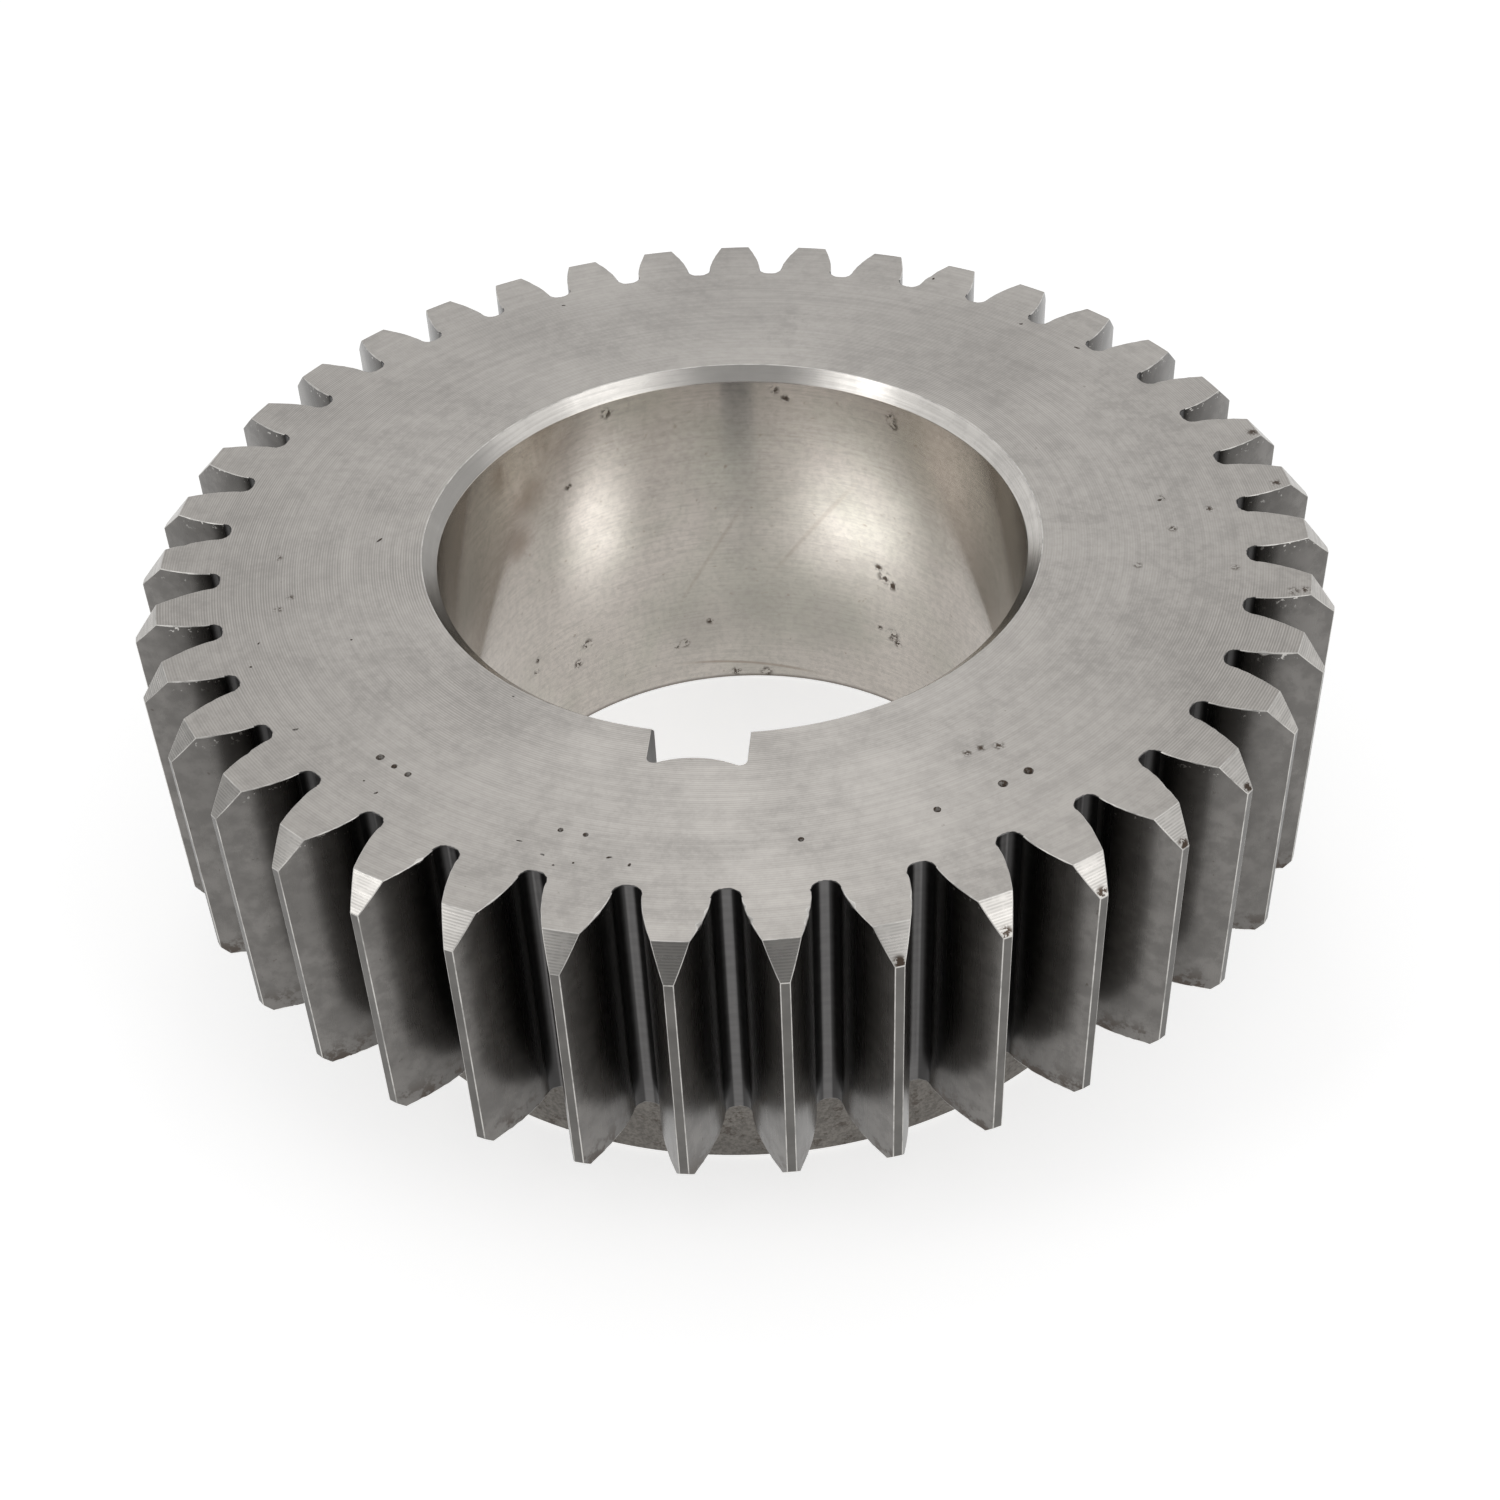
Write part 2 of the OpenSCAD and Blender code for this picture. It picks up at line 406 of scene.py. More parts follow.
def ground_flank(graph, place, finish):
    """Flanks: smooth grinding along the teeth, with painted shade that darkens them towards the
    roots.
    """
    steel = finish.flank
    along = place.grooves(1500, 60)
    mottle = place.noise(360, 4, 0.7)
    foot = 1 - graph.ramp(place.z, TEETH_FOOT, TEETH_FOOT + GRIME_REACH)
    top = graph.ramp(place.z, HIGH.z - BURR_REACH, HIGH.z)
    shade = graph.coats(
        times(steel, 1.1),
        (place.grain(90, 3, 0.6, 0.35, 0.65) * 0.7, times(steel, 0.76)),
        (graph.ramp(mottle, 0.4, 0.62) * 0.55, times(steel, 0.7)),
        # painted shade deep in the tooth spaces, darkest at the roots
        ((1 - graph.ramp(place.radius, FLANK_SHADE_INNER, FLANK_SHADE_OUTER)) * 0.55, times(steel, 0.3)),
        (place.grain(650, 3, 0.7, 0.68, 0.74) * 0.5, finish.dirt_and_shadow),
        (foot * graph.ramp(mottle, 0.5, 0.58) * 0.75, finish.dirt_and_shadow),
        (top * place.grain(1500, 2, 0.6, 0.64, 0.67), finish.edge))
    graph.metal(shade, 0.24 + along * 0.08, along, 1.3e-6)


# Radii between which painted shade starts, at the sides of a tooth space's bottom
ROOT_SHADE_LOW = 76.075 * MM
ROOT_SHADE_HIGH = 76.16 * MM


def hardened_root(graph, place, finish):
    """Roots: dark hobbed steel with faint cutter marks across the spaces, and painted shade on the
    fillets at their sides.
    """
    marks = place.grooves(200, 900)
    shade = graph.coats(
        finish.root,
        (graph.ramp(marks, 0.3, 0.7) * 0.4, times(finish.root, 1.5)),
        # painted shade on the root fillets, which narrows the bright line along the bottom of the
        # space
        (graph.ramp(place.radius, ROOT_SHADE_LOW, ROOT_SHADE_HIGH) * 0.75, times(finish.root, 0.2)))
    graph.metal(shade, 0.28 + marks * 0.15, marks, 6e-6)


def turned_land(graph, place, finish):
    """Tip lands: the turned outside of the blank."""
    lines = place.grooves(60, 3000)
    shade = graph.coats(finish.land,
                        (place.grain(160, 3, 0.6, 0.3, 0.7), times(finish.land, 0.75)))
    graph.metal(shade, 0.3 + lines * 0.12, lines, 3e-6)


def broken_edge(graph, place, finish):
    """Edges that a file or the wheel broke: brighter and a little uneven."""
    nicks = place.noise(1500, 3, 0.6)
    shade = graph.coats(finish.edge,
                        (place.grain(260, 3, 0.7, 0.4, 0.7), times(finish.edge, 0.55)))
    graph.metal(shade, 0.26 + nicks * 0.15, nicks, 2e-5)


# Marks on the wall of the bore, in degrees and mm: pits as angle, height and size, brown oil
# stains and patches of painted shade in the same way, and wiped lines from one x and z to
# another with width and strength
BORE_PITS = ((60.8, 27.8, 1.0), (58.6, 26.6, 0.8), (62.3, 29.4, 0.6), (58.4, 15.7, 1.0),
             (61.8, 16.4, 0.4), (57.0, 14.4, 0.6), (102.7, 13.7, 0.5), (108.9, 9.5, 0.7),
             (111.0, 9.2, 0.5), (147.5, 19.6, 0.5), (148.4, 17.4, 0.5), (133.0, 16.4, 0.8),
             (136.0, 13.2, 0.7), (122.9, 61.3, 0.8), (86.0, 61.8, 0.6), (83.7, 60.2, 0.6),
             (59.4, 60.4, 0.8), (58.6, 59.2, 0.6), (133.6, 50.0, 0.6), (97.0, 1.7, 0.7),
             (90.0, 1.5, 0.8))
BORE_STAINS = ((139, 61, 7.5), (144, 53, 6.0), (149, 45, 5.0), (152, 60, 6.0))
BORE_PAINTED_SHADE = ((12, 50, 15.0), (28, 38, 10.0), (75, 15, 14.0), (92, 16, 14.0), (106, 14, 12.0),
             (172, 46, 12.0))
BORE_WIPES = (((-1.4, 40.8), (-16.2, 16.1), 0.6, 0.22), ((18.5, 48.3), (-0.2, 21.0), 0.6, 0.22),
              ((-17.6, 5.2), (12.5, 1.9), 0.45, 0.55))
# How much wider a pit is drawn than its size, because its rim is soft
PIT_RIM = 1.9
# Height of the painted contact shadow round the lower end of the bore
FOOT_SHADOW_FULL = 0.5 * MM
FOOT_SHADOW_END = 1.3 * MM


def bore_spots(place, marks, softness, wider=1.0):
    """Spots on the wall of the bore, from angles, heights and sizes."""
    return place.spots([(on_face(BORE_R, turn, z * MM), size * wider * MM)
                        for turn, z, size in marks], softness)


def honed_bore(graph, place, finish):
    """Bore: smooth steel, cloudy warm and green-grey, with oil stains, a few pits, patches of
    painted shade and a painted contact shadow round its lower end.
    """
    hone = place.rings(5, 0, 3, 0.7, along=2600)
    tint = place.rings(1.4, 0, 3, 0.6, along=30, distortion=0.4)
    speckle = place.noise(900, 3, 0.7)
    cloud = place.noise(110, 4, 0.65)
    pits = bore_spots(place, BORE_PITS, 0.8, PIT_RIM)
    shade = graph.coats(
        finish.bore,
        (graph.ramp(tint, 0.45, 0.68), finish.bore_cool),
        (graph.ramp(cloud, 0.4, 0.7) * 0.3, times(finish.bore, 0.84)),
        (graph.ramp(hone, 0.4, 0.65) * 0.2 + graph.ramp(speckle, 0.42, 0.62) * 0.22,
         times(finish.bore, 0.55)),
        (bore_spots(place, BORE_STAINS, 1.0) * graph.ramp(cloud, 0.3, 0.6) * 0.6, finish.stain),
        # painted shade: darker patches of the wall, standing in for dark reflections
        (bore_spots(place, BORE_PAINTED_SHADE, 1.0) * 0.45, times(finish.bore_cool, 0.6)),
        *[(place.streak(start, end, width) * strength, finish.stain)
          for start, end, width, strength in BORE_WIPES],
        (pits * place.grain(1000, 3, 0.7, 0.47, 0.53), finish.dirt_and_shadow),
        (place.grain(800, 3, 0.7, 0.66, 0.71) * 0.5, finish.stain),
        # painted contact shadow round the bore's lower end, where it stands on the floor
        ((1 - graph.ramp(place.z, FOOT_SHADOW_FULL, FOOT_SHADOW_END)) * 0.7, finish.dirt_and_shadow))
    rough = 0.14 + graph.ramp(cloud, 0.3, 0.7) * 0.03 + graph.ramp(tint, 0.3, 0.7) * 0.02
    graph.metal(shade, rough, hone + speckle * 0.4, 1.2e-6, brushed=1.0)


# Patches of painted shade on the chamfer round the bore's mouth: their radius, then angle and size
# in mm
CHAMFER_SHADE_RADIUS = BORE_R + 1
CHAMFER_SHADE = ((92, 17), (168, 20), (188, 16))


def turned_bore_chamfer(graph, place, finish):
    """Chamfer round the mouth of the bore, with a few patches of painted shade."""
    lines = place.rings(2.5, 2400, 2, 0.7)
    cloud = place.noise(200, 4, 0.65)
    chamfer_shade = place.spots([(on_face(CHAMFER_SHADE_RADIUS, turn), size * MM)
                        for turn, size in CHAMFER_SHADE], 0.7)
    shade = graph.coats(
        times(finish.chamfer, 1.2),
        (graph.ramp(lines, 0.35, 0.65) * 0.4 + graph.ramp(cloud, 0.4, 0.65) * 0.3,
         times(finish.chamfer, 0.8)),
        # painted shade where the chamfer looks darker
        (chamfer_shade * 0.85, times(finish.chamfer, 0.5)))
    graph.metal(shade, 0.16 + cloud * 0.12, lines + cloud * 0.5, 6e-6)


def broached_keyway(graph, place, finish):
    """Keyway: straight broach lines along the axis, on steel painted very dark as shade in the slot.
    """
    lines = place.grooves(3500, 30)
    # painted shade: far darker than the bore's steel, with its shine along the surface cut down
    shade = graph.coats(finish.keyway,
                        (graph.ramp(lines, 0.3, 0.7) * 0.4, times(finish.keyway, 0.7)))
    graph.metal(shade, 0.3 + lines * 0.1, lines, 5e-6, glance=0.55)


def forged_skin(graph, place, finish):
    """Hub side and underside: rough brown-grey scale from the forging."""
    lumps = place.noise(520, 5, 0.75)
    grain = place.noise(1500, 3, 0.7)
    shade = graph.coats(
        finish.forged,
        (place.grain(75, 3, 0.6, 0.3, 0.7), times(finish.forged, 1.35)),
        (graph.ramp(grain, 0.4, 0.62) * 0.5, times(finish.forged, 0.5)),
        (graph.ramp(lumps, 0.54, 0.62) * 0.6, finish.dirt_and_shadow))
    graph.metal(shade, 0.5 + grain * 0.15, lumps + grain * 0.5, 1.3e-4)


def turned_foot(graph, place, finish):
    """Foot of the hub: a plain turned face."""
    lines = place.rings(0.5, 3200, 2, 0.6)
    shade = graph.coats(finish.turned,
                        (place.grain(50, 3, 0.6, 0.3, 0.7) * 0.5, times(finish.turned, 0.75)))
    graph.metal(shade, 0.3 + lines * 0.12, lines, 5e-6)


def dent_skin(graph, place, finish):
    """Inside of punch dots and nicks: darker steel with some dirt."""
    dark_marks = place.noise(1800, 2, 0.6)
    shade = graph.coats(times(finish.turned, 0.45), (graph.ramp(dark_marks, 0.35, 0.6), finish.dirt_and_shadow))
    graph.metal(shade, 0.45 + dark_marks * 0.2, dark_marks, 1e-5)


FINISHES = {
    "face": turned_face, "chamfer": turned_chamfer, "flank": ground_flank,
    "root": hardened_root, "land": turned_land, "edge": broken_edge, "bore": honed_bore,
    "bore_chamfer": turned_bore_chamfer, "keyway": broached_keyway, "forged": forged_skin,
    "foot": turned_foot, "dent": dent_skin,
}
FINISH_NUMBER = {name: number for number, name in enumerate(FINISHES)}


def finished(make, finish):
    """A material, named after the function that draws it."""
    material = bpy.data.materials.new(make.__name__)
    graph = Graph(material)
    make(graph, Place(graph), finish)
    return material


# Points of a flat face nearer than this, in mm, count as one
WELD = 1e-7
# What Blender's triangulation gives back: here every triangle, also those outside the loops
ALL_TRIANGLES = 0


def eased(value):
    """0 to 1 with soft ends."""
    held = np.clip(value, 0.0, 1.0)
    return held * held * (3 - 2 * held)


class Skin:
    """Points, their normals and faces of one closed skin, in metres."""

    def __init__(self):
        self.points = []
        self.normals = []
        self.faces = []
        self.finishes = []

    def add(self, plan, height, normal, tilt):
        """Adds a row of points and gives their numbers.

        The plan and the plan's normals are complex numbers. The tilt is the sine of the
        normal's rise above the horizontal.
        """
        plan, height, normal, tilt = np.broadcast_arrays(plan, height, normal, tilt)
        level = np.sqrt(1 - np.square(tilt))
        start = len(self.points)
        self.points.extend(np.stack([plan.real, plan.imag, height], axis=-1))
        self.normals.extend(np.stack([normal.real * level, normal.imag * level, tilt], axis=-1))
        return np.arange(start, len(self.points))

    def strip(self, first, second, finish, closed=True):
        """Quads between two rows of point numbers. The finish is one name or one a quad."""
        count = len(first) - (0 if closed else 1)
        names = [finish] * count if isinstance(finish, str) else finish
        for i in range(count):
            j = (i + 1) % len(first)
            self.face((first[i], first[j], second[j], second[i]), names[i])

    def face(self, corners, finish):
        self.faces.append(tuple(int(c) for c in corners))
        self.finishes.append(FINISH_NUMBER[finish])

    def flat(self, loops, finish):
        """Fills the flat region between loops of point numbers, holes left open."""
        numbers = [int(n) for loop in loops for n in loop]
        plan = np.array([self.points[n][:2] for n in numbers]) / MM
        edges = []
        start = 0
        for loop in loops:
            count = len(loop)
            edges += [(start + i, start + (i + 1) % count) for i in range(count)]
            start += count
        made, _, triangles, sources, _, _ = delaunay_2d_cdt(
            [Vector(p) for p in plan], edges, [], ALL_TRIANGLES, WELD)
        if len(made) != len(plan):
            raise RuntimeError(f"the {finish} outline crosses itself")
        corners = np.array([[sources[v][0] for v in t] for t in triangles])
        inside = odd_crossings(plan[corners].mean(axis=1), plan, np.array(edges))
        for triangle in corners[inside]:
            self.face([numbers[v] for v in triangle], finish)

    def mesh(self, name, materials):
        """Makes the mesh, with every face turned to its normals."""
        points = np.array(self.points)
        normals = np.array(self.normals)
        faces = []
        for corners in self.faces:
            sides = points[list(corners[1:])] - points[corners[0]]
            across = np.cross(sides[0], sides[1]) + np.cross(sides[1], sides[-1])
            out = normals[list(corners)].sum(axis=0)
            faces.append(corners if across @ out > 0 else corners[::-1])
        mesh = bpy.data.meshes.new(name)
        mesh.from_pydata(points.tolist(), [], faces)
        for material in materials:
            mesh.materials.append(material)
        mesh.polygons.foreach_set("material_index", self.finishes)
        mesh.polygons.foreach_set("use_smooth", [True] * len(faces))
        mesh.normals_split_custom_set_from_vertices(normals.tolist())
        mesh.update()
        return mesh


def odd_crossings(centres, plan, edges, batch=800):
    """True for each centre inside an odd number of the loops."""
    x1, y1 = plan[edges[:, 0]].T
    x2, y2 = plan[edges[:, 1]].T
    inside = []
    for start in range(0, len(centres), batch):
        x, y = centres[start:start + batch].T[:, :, None]
        spans = (y1 > y) != (y2 > y)
        with np.errstate(divide="ignore", invalid="ignore"):
            crossing = x1 + (y - y1) * (x2 - x1) / (y2 - y1)
        inside.append((spans & (crossing > x)).sum(axis=1) % 2 == 1)
    return np.concatenate(inside)


def circle(steps):
    """Points and outward normals of a circle of radius 1 in the plan."""
    return np.exp(2j * math.pi * np.arange(steps) / steps)


# How much of the half tooth space a root fillet may take
FILLET_LIMIT = 0.95


class Tooth:
    """An involute tooth with its root fillets, along the real axis of the plan."""

    def __init__(self, sizes):
        self.count = sizes.teeth
        self.step = 2 * math.pi / sizes.teeth
        self.tip_r = sizes.tip_radius
        self.module = 2 * sizes.tip_radius / (sizes.teeth + 2 * sizes.addendum)
        pitch_r = self.module * sizes.teeth / 2
        self.root_r = pitch_r - sizes.dedendum * self.module
        self.base_r = pitch_r * math.cos(sizes.pressure_angle)
        involute = math.tan(sizes.pressure_angle) - sizes.pressure_angle
        self.base_half = sizes.tooth_share * self.step / 2 + involute
        half_space = self.base_r * (self.step / 2 - self.base_half)
        self.fillet_r = min(sizes.root_round * self.module, FILLET_LIMIT * half_space)
        centre_r = self.root_r + self.fillet_r
        string = math.sqrt(centre_r ** 2 - self.base_r ** 2)
        self.fillet_roll = (string - self.fillet_r) / self.base_r
        self.fillet_angle = self.base_half - self.fillet_roll + math.atan(string / self.base_r)
        self.fillet_centre = centre_r * np.exp(1j * self.fillet_angle)

    def flank(self, radius):
        """Points and normals of the upper flank at given radii."""
        roll = np.sqrt(np.square(np.asarray(radius) / self.base_r) - 1)
        lean = self.base_half - roll
        return radius * np.exp(1j * (lean + np.arctan(roll))), 1j * np.exp(1j * lean)

    def fillet(self, steps):
        """Points and normals of the root fillet, after its first point."""
        start = self.base_half - self.fillet_roll - math.pi / 2
        turn = start + (self.fillet_angle - math.pi - start) * np.arange(1, steps + 1) / steps
        return self.fillet_centre + self.fillet_r * np.exp(1j * turn), -np.exp(1j * turn)


# Over what distance the width of a broken edge changes, inwards from the land's end and
# inwards from a start outside the crease
LAND_FADE = 0.5 * MM
FACE_FADE = 0.8 * MM
FACE_START = 0.1 * MM
# How far inside the crease the search for its flank radii begins, and its samples
CREASE_SEARCH = 1.5 * MM
CREASE_SAMPLES = 400


class ToothEnd:
    """One end of the teeth: a flat face with a chamfer round the tips."""

    def __init__(self, sizes, edges, upper):
        self.up = 1 if upper else -1
        self.level = sizes.height if upper else sizes.height - sizes.face_width
        reach = sizes.tip_chamfer_in if upper else sizes.foot_chamfer_in
        drop = sizes.tip_chamfer_down if upper else sizes.foot_chamfer_up
        self.crease_r = sizes.tip_radius - reach
        self.slope = drop / reach
        self.tilt = self.up / math.hypot(1, self.slope)
        self.half_crease = edges.crease
        self.soft_r = sizes.tip_radius - edges.tip_round
        self.breaks = (edges.land, edges.chamfer, edges.face if upper else edges.foot)

    def height(self, radius):
        return self.level - self.up * self.slope * np.maximum(0, radius - self.crease_r)

    def broken(self, radius):
        """How far the edge is broken at a radius."""
        land, chamfer, face = self.breaks
        return (land + (chamfer - land) * eased((self.soft_r - radius) / LAND_FADE)
                + (face - chamfer) * eased((self.crease_r + FACE_START - radius) / FACE_FADE))

    def crease_stops(self, tooth):
        """Flank radii whose inset points lie on both sides of the crease."""
        radius = np.linspace(self.crease_r - CREASE_SEARCH, self.soft_r, CREASE_SAMPLES)
        point, normal = tooth.flank(radius)
        inset = np.abs(point - normal * self.broken(radius))
        sides = np.array([self.crease_r - self.half_crease, self.crease_r + self.half_crease])
        return np.interp(sides, inset, radius)


# Steps down each flank and round each root fillet
FLANK_STEPS = 14
FILLET_STEPS = 8
# Flank rows nearer than this to a crease make way for it, and what tells two rows apart
STOP_GAP = 0.15 * MM
STOP_NUDGE = 1e-9
# Where the points between the two sides of a tip chamfer stand, from -1 to 1 across it
ACROSS = np.array([-0.8, -0.4, 0.0, 0.4, 0.8])
# Where the rounded middle of a broken edge lies, as a share of its width
HALFWAY = 0.29
# How far inside the crease the file marks start, and over what distance they grow
RAGGED_START = 0.4 * MM
RAGGED_FADE = 0.5 * MM
# Chips in the edges on the toothed face: tooth from the keyway's, side, radius and size in mm
CHIPS = ((0, 1, 82.4, 0.5), (0, 1, 80.3, 0.3), (1, -1, 81.6, 0.55), (1, -1, 79.2, 0.3),
         (1, 1, 82.8, 0.4), (1, 1, 80.9, 0.5), (2, -1, 80.6, 0.5), (2, 1, 81.4, 0.3),
         (-1, 1, 81.9, 0.35), (-3, 1, 80.2, 0.4), (-5, -1, 81.0, 0.4), (5, 1, 82.0, 0.4),
         (8, -1, 80.8, 0.45), (12, 1, 81.7, 0.3), (-9, -1, 82.2, 0.35), (17, 1, 81.1, 0.4))
# How far a chip reaches along the edge to each side
CHIP_REACH = 0.45 * MM


class ToothPlan:
    """Outline of all the teeth, one tooth after another from the one at the keyway."""

    def __init__(self, sizes, edges, ends):
        tooth = Tooth(sizes)
        tip_r = tooth.tip_r
        corner, corner_normal = tooth.flank(tip_r)
        start_r = tip_r - edges.tip_round
        lowest_r = tooth.base_r * math.hypot(1, tooth.fillet_roll)
        stops = np.concatenate([end.crease_stops(tooth) for end in ends])
        spread = np.linspace(start_r, lowest_r, FLANK_STEPS + 1)
        near = np.abs(spread[:, None] - stops).min(axis=1) < STOP_GAP
        near[[0, -1]] = False
        radii = np.sort(np.concatenate([spread[~near], stops]))[::-1]
        flank, flank_normal = tooth.flank(radii)
        land_end = tip_r * np.exp(1j * (np.angle(corner) - edges.tip_round / tip_r))
        land = np.array([tip_r, tip_r * np.exp(0.5j * np.angle(land_end)), land_end])
        middle = (land_end + 2 * corner + flank[0]) / 4
        middle_normal = land_end / tip_r + corner_normal
        fillet, fillet_normal = tooth.fillet(FILLET_STEPS)
        space = tooth.root_r * np.exp(0.5j * tooth.step)
        half = np.concatenate([land, [middle], flank, fillet, [space]])
        half_normal = np.concatenate([land / tip_r, [middle_normal / abs(middle_normal)],
                                      flank_normal, fillet_normal, [space / tooth.root_r]])
        kinds = (["land", "land", "edge", "edge"] + ["flank"] * (len(radii) - 1)
                 + ["root"] * (FILLET_STEPS + 1))
        self.teeth = tooth.count
        self.last = len(half) - 1
        self.per_tooth = 2 * self.last
        self.first_flank = len(land) + 1
        self.crease_rows = [
            self.first_flank + np.searchsorted(-radii, -end.crease_stops(tooth)[::-1] - STOP_NUDGE)
            for end in ends]
        turns = np.exp(1j * (np.arange(tooth.count) * tooth.step - math.pi / 2))
        one = np.concatenate([np.conj(half[::-1]), half[1:-1]])
        one_normal = np.concatenate([np.conj(half_normal[::-1]), half_normal[1:-1]])
        self.points = (turns[:, None] * one).ravel()
        self.normals = (turns[:, None] * one_normal).ravel()
        self.kinds = (kinds[::-1] + kinds) * tooth.count

    def column(self, tooth, row):
        """Number of the outline's point that is a row from the middle of a tooth's land."""
        return (tooth * self.per_tooth + self.last + row) % len(self.points)

    def broken(self, end, edges, random, chips):
        """How far the edge at one end is broken at each point, with its file marks and chips."""
        radius = np.abs(self.points)
        size = end.broken(radius)
        flat = eased((end.crease_r - RAGGED_START - radius) / RAGGED_FADE)
        size = size * (1 + edges.ragged * flat * random.uniform(-1, 1, len(size)))
        for tooth, side, chip_r, depth in chips:
            columns = self.column(tooth, side * np.arange(self.first_flank, self.last))
            gap = (np.abs(self.points[columns]) - chip_r * MM) / CHIP_REACH
            size[columns] += depth * MM * np.exp(-np.square(gap)) * flat[columns]
        return size


def draw_teeth(skin, sizes, edges, random):
    """Draws the walls, edges and chamfers of all the teeth. Gives the loops of both faces."""
    ends = (ToothEnd(sizes, edges, upper=False), ToothEnd(sizes, edges, upper=True))
    plan = ToothPlan(sizes, edges, ends)
    loops = []
    walls = []
    for number, end in enumerate(ends):
        size = plan.broken(end, edges, random, CHIPS if end.up > 0 else ())
        radius = np.abs(plan.points)
        wall = skin.add(plan.points, end.height(radius) - end.up * size, plan.normals, 0.0)
        inset = plan.points - size * plan.normals
        inset_r = np.abs(inset)
        inset_tilt = np.where(inset_r > end.crease_r, end.tilt, end.up)
        outward = inset / inset_r
        middle = plan.points - HALFWAY * size * plan.normals
        blend = plan.normals + outward * np.sqrt(1 - inset_tilt ** 2)
        halfway = skin.add(middle, end.height(np.abs(middle)) - end.up * HALFWAY * size,
                           blend / np.abs(blend),
                           inset_tilt / np.hypot(np.abs(blend), inset_tilt))
        rim = skin.add(inset, end.height(inset_r), outward, inset_tilt)
        names = ["root" if kind == "root" else "edge" for kind in plan.kinds]
        skin.strip(wall, halfway, names)
        skin.strip(halfway, rim, names)
        walls.append(wall)
        loops.append(draw_tips(skin, plan, end, rim, plan.crease_rows[number]))
    skin.strip(walls[0], walls[1], plan.kinds)
    return loops


def draw_tips(skin, plan, end, rim, crease_rows):
    """Draws the chamfer at one end of every tooth and gives the loop of the flat face."""
    inner = max(crease_rows)
    loop = []
    for tooth in range(plan.teeth):
        above = [rim[plan.column(tooth, row)]
                 for row in range(1 - plan.first_flank, plan.first_flank)]
        for row in range(plan.first_flank, inner + 1):
            left, right = (rim[plan.column(tooth, side * row)] for side in (-1, 1))
            ends = [complex(*skin.points[n][:2]) for n in (left, right)]
            radius = abs(ends[0])
            spread = np.angle(ends[1] / ends[0]) / 2
            outward = np.exp(1j * (np.angle(ends[0]) + spread * (1 + ACROSS)))
            tilt = end.up if row == inner else end.tilt
            between = skin.add(radius * outward, end.height(radius), outward, tilt)
            here = [left, *between, right]
            skin.strip(above, here, "edge" if row == inner else "chamfer", closed=False)
            above = here
        loop += [rim[plan.column(tooth, row)] for row in range(-plan.last, -inner)]
        loop += above
        loop += [rim[plan.column(tooth, row)] for row in range(inner + 1, plan.last)]
    return loop


# Steps round the bore, and along the keyway's corners, half its floor and its walls
ARC_STEPS = 360
CORNER_STEPS = 6
CROWN_STEPS = 6
WALL_STEPS = 4
# Where the rounded middles of the bore's edges lie, as shares of the break's width: at the two
# faces, and between a chamfer and the wall
FACE_MIDDLE = 0.3
WALL_MIDDLE = 0.2


def key_side(sizes, edges, radius, inset):
    """Right half of the keyway in plan, from the middle of its floor to the bore."""
    crown_r = sizes.bore_radius + sizes.key_depth + sizes.floor_crown
    corner_x = sizes.key_width / 2 - sizes.key_corner
    lean = math.asin(corner_x / (sizes.floor_crown + sizes.key_corner))
    corner_y = crown_r - (sizes.floor_crown + sizes.key_corner) * math.cos(lean)
    crown = 1j * np.exp(-1j * np.linspace(0, lean, CROWN_STEPS, endpoint=False))
    floor = (sizes.floor_crown - inset) * crown - 1j * crown_r
    turn = np.exp(1j * np.linspace(-math.pi / 2 - lean, 0, CORNER_STEPS + 1))
    corner = corner_x - 1j * corner_y + (sizes.key_corner + inset) * turn
    x = sizes.key_width / 2 + inset
    mouth = x - 1j * math.sqrt(radius ** 2 - x ** 2)
    end = mouth - 1j * edges.bore
    wall = x + 1j * np.linspace(-corner_y, end.imag, WALL_STEPS + 1)[1:]
    arc_x = x + edges.bore
    arc_end = arc_x - 1j * math.sqrt(radius ** 2 - arc_x ** 2)
    middle = (end + 2 * mouth + arc_end) / 4
    middle_normal = -1 - arc_end / radius
    points = np.concatenate([floor, corner, wall, [middle]])
    normals = np.concatenate([crown, -turn, np.full(WALL_STEPS, -1 + 0j),
                              [middle_normal / abs(middle_normal)]])
    return points, normals, np.angle(arc_end)


